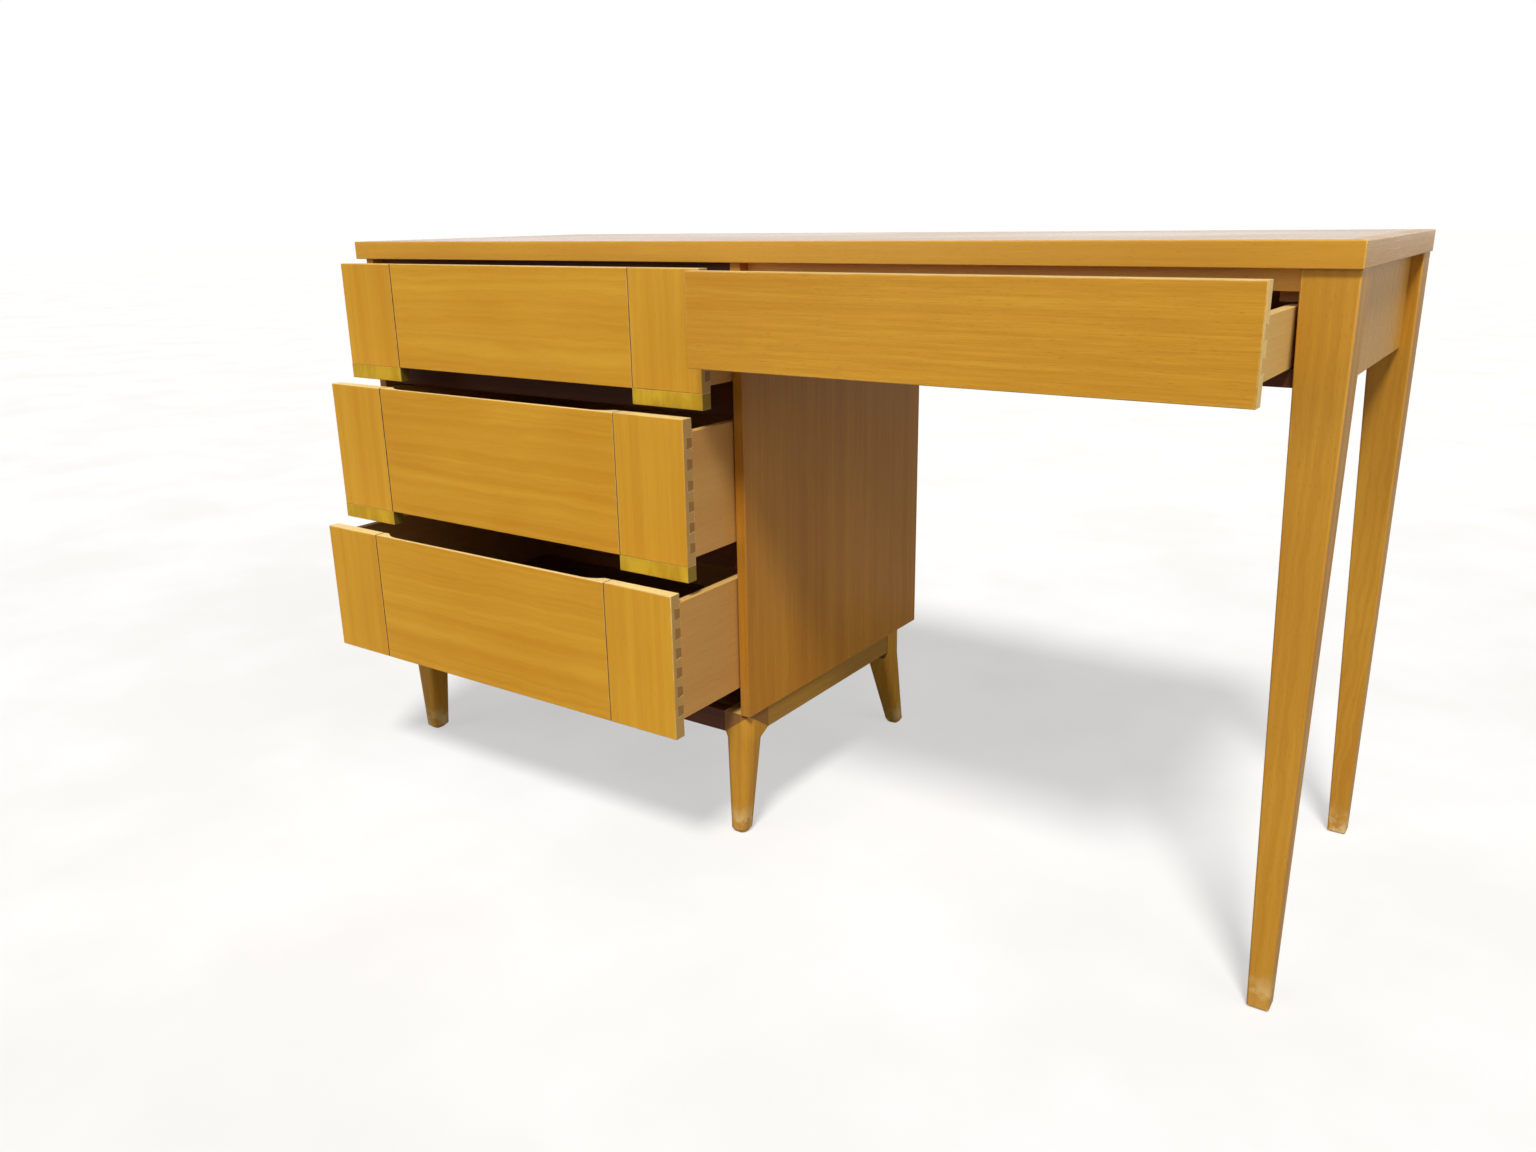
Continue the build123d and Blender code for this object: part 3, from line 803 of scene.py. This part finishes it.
@dataclass
class PedestalDrawer(SubAssembly):
    """One deep drawer: a front of three boards, a dovetailed box and, on two of them, brass caps."""

    name: str
    capped: bool
    edge_radius: float = BOARD_EDGE

    def build(self) -> None:
        """Dress the front, the box and the caps."""
        front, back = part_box(f"{self.name}_centre_panel")
        self.dress((f"{self.name}_centre_panel",), FRONT_VENEER, Grain.ACROSS, self.edge_radius)
        for side, seam in (("left", front.x), ("right", back.x)):
            # Painted shade: the walls of the groove between the centre panel and each pilaster are darkened.
            groove_shade = Stain(JOINT_DARK_AND_SHADE, 0.9, beside=seam, reach=2.2 * MM, behind=front.y + 0.5 * MM)
            self.dress((f"{self.name}_pilaster_{side}",), PILASTER_VENEER, Grain.UPRIGHT, self.edge_radius, groove_shade)
        tails = Stain(TAIL_BROWN, 0.6, before=back.y - 0.3 * MM)
        sides = (f"{self.name}_side_left", f"{self.name}_side_right")
        self.dress(sides, DRAWER_WOOD, Grain.DEEP, BOX_EDGE, tails)
        self.dress((f"{self.name}_back",), DRAWER_WOOD, Grain.ACROSS, BOX_EDGE)
        self.dress((f"{self.name}_bottom",), PLYWOOD, Grain.ACROSS, PLY_EDGE)
        if self.capped:
            self.paint(f"{self.name}_brass_caps", BRASS.material(self.name))
            self.soften(f"{self.name}_brass_caps", THIN_EDGE)


@dataclass
class PencilDrawer(SubAssembly):
    """The wide shallow drawer over the kneehole."""

    edge_radius: float = BOARD_EDGE

    def build(self) -> None:
        """Dress the front and the box."""
        self.dress(("pencil_drawer_front",), PENCIL_VENEER, Grain.ACROSS, self.edge_radius)
        self.dress(("pencil_drawer_side_left", "pencil_drawer_side_right"), BIRCH, Grain.DEEP, BOX_EDGE)
        self.dress(("pencil_drawer_back",), BIRCH, Grain.ACROSS, BOX_EDGE)
        self.dress(("pencil_drawer_bottom",), PLYWOOD, Grain.ACROSS, PLY_EDGE)


@dataclass
class Studio:
    """The pale floor, the soft lights and the camera. Places are in metres from the desk's middle."""

    floor_radius: float = 40.0
    floor_gap: float = 0.5 * MM
    camera_place: Triple = (0.8295, -1.2858, 0.7882)
    camera_turn: Triple = (-17.05, 34.79, -0.97)
    lens: float = 27.64
    sensor_width: float = 36.0
    background: float = 1.0
    ambient: float = 0.13
    backlight: float = 1.1
    floor_glow: float = 0.55

    def floor(self) -> None:
        """Lay a round pale floor under the feet."""
        mesh = bpy.data.meshes.new("floor")
        shape = bmesh.new()
        bmesh.ops.create_circle(shape, cap_ends=True, segments=96, radius=self.floor_radius)
        shape.to_mesh(mesh)
        shape.free()
        piece = bpy.data.objects.new("floor", mesh)
        bpy.context.scene.collection.objects.link(piece)
        piece.location.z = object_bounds()[0][2] - self.floor_gap
        mesh.materials.append(self.floor_material())
        piece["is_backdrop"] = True

    def floor_material(self) -> bpy.types.Material:
        """Mix the floor: a pale glowing sweep to look at, which throws little light back up at the desk."""
        recipe = Recipe(bpy.data.materials.new("floor"))
        cloud = recipe.noise(recipe.place("floor"), 3.0, 4.0)
        colour = recipe.mix(recipe.span(cloud, 0.3, 0.7), tone(243, 243, 242), tone(249, 249, 249))
        glow = recipe.add("Emission", {"Color": colour, "Strength": self.floor_glow})
        share = recipe.mix(1.0 - self.floor_glow, tone(0, 0, 0), colour)
        matt = recipe.add("BsdfDiffuse", {"Color": share, "Roughness": 0.5})
        seen = recipe.add("AddShader", {0: glow.outputs[0], 1: matt.outputs[0]})
        unseen = recipe.add("BsdfDiffuse", {"Color": tone(150, 146, 140)})
        by_camera = recipe.add("LightPath", {}).outputs["Is Camera Ray"]
        either = recipe.add("MixShader", {0: by_camera, 1: unseen.outputs[0], 2: seen.outputs[0]})
        recipe.add("OutputMaterial", {0: either.outputs[0]})
        return recipe.owner

    def world(self) -> None:
        """Surround the desk with soft light that looks white to the eye."""
        recipe = Recipe(bpy.data.worlds.new("studio"))
        _, deep, height = recipe.parts(recipe.coordinates("Generated"))
        behind = recipe.span(deep, 0.2, 0.7, self.ambient, self.backlight)
        low = recipe.span(height, 0.1, 0.4, 1.0, 0.0)
        around = recipe.add("Mix", {0: low, 2: self.ambient, 3: behind}).outputs[0]
        by_camera = recipe.add("LightPath", {}).outputs["Is Camera Ray"]
        strength = recipe.add("Mix", {0: by_camera, 2: around, 3: self.background}).outputs[0]
        shade = recipe.add("Background", {"Color": (1.0, 1.0, 1.0, 1.0), "Strength": strength})
        recipe.add("OutputWorld", {0: shade.outputs[0]})
        bpy.context.scene.world = recipe.owner

    def lamp(self, name: str, travel: Triple, strength: float, spread: float, colour: Triple) -> None:
        """Shine one soft even light across the desk.

        Args:
            name: The light's name.
            travel: The way its light travels.
            strength: Its strength on a surface that faces it, where pi is full white.
            spread: How wide the light looks, in degrees.
            colour: The colour of its light.
        """
        data = bpy.data.lights.new(name, "SUN")
        data.energy = strength
        data.angle = math.radians(spread)
        data.color = colour
        lamp = bpy.data.objects.new(name, data)
        bpy.context.scene.collection.objects.link(lamp)
        lamp.rotation_euler = Vector(travel).to_track_quat("-Z", "Y").to_euler()

    def lights(self) -> None:
        """Shine the lights: the main one from above in front, weaker ones from the left and the right."""
        self.lamp("key", (-1.0, 2.3, -3.7), 2.85, 12.0, (1.0, 0.98, 0.94))
        self.lamp("left_fill", (0.55, 1.0, -0.4), 0.55, 40.0, (1.0, 0.97, 0.92))
        self.lamp("right_fill", (-1.0, 0.25, -0.4), 0.85, 50.0, (1.0, 0.98, 0.96))

    def camera(self) -> None:
        """Set the camera at standing height before the desk's right half."""
        data = bpy.data.cameras.new("camera")
        data.sensor_fit = "HORIZONTAL"
        data.sensor_width = self.sensor_width
        data.lens = self.lens
        camera = bpy.data.objects.new("camera", data)
        bpy.context.scene.collection.objects.link(camera)
        pitch, yaw, roll = (math.radians(angle) for angle in self.camera_turn)
        turn = Matrix.Rotation(yaw, 4, "Z") @ Matrix.Rotation(math.pi / 2 + pitch, 4, "X")
        camera.matrix_world = Matrix.Translation(self.camera_place) @ turn @ Matrix.Rotation(roll, 4, "Z")
        bpy.context.scene.camera = camera

    def build(self) -> None:
        """Build the floor, the lights and the camera."""
        self.floor()
        self.world()
        self.lights()
        self.camera()
        bpy.context.scene.view_settings.view_transform = "Standard"


def main() -> None:
    """Dress the desk, part by part, and set up the studio around it."""
    logging.basicConfig(level=logging.INFO, format="%(name)s: %(message)s")
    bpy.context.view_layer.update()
    parts = [Desktop(), PedestalCase(), BaseFrame(), KneeholeSide()]
    parts += [PedestalDrawer(f"drawer_{number}", capped=number < 3) for number in (1, 2, 3)]
    parts += [PencilDrawer(), Studio()]
    for part in parts:
        part.build()
        log.info("built %s", type(part).__name__)


if __name__ == "__main__":
    main()
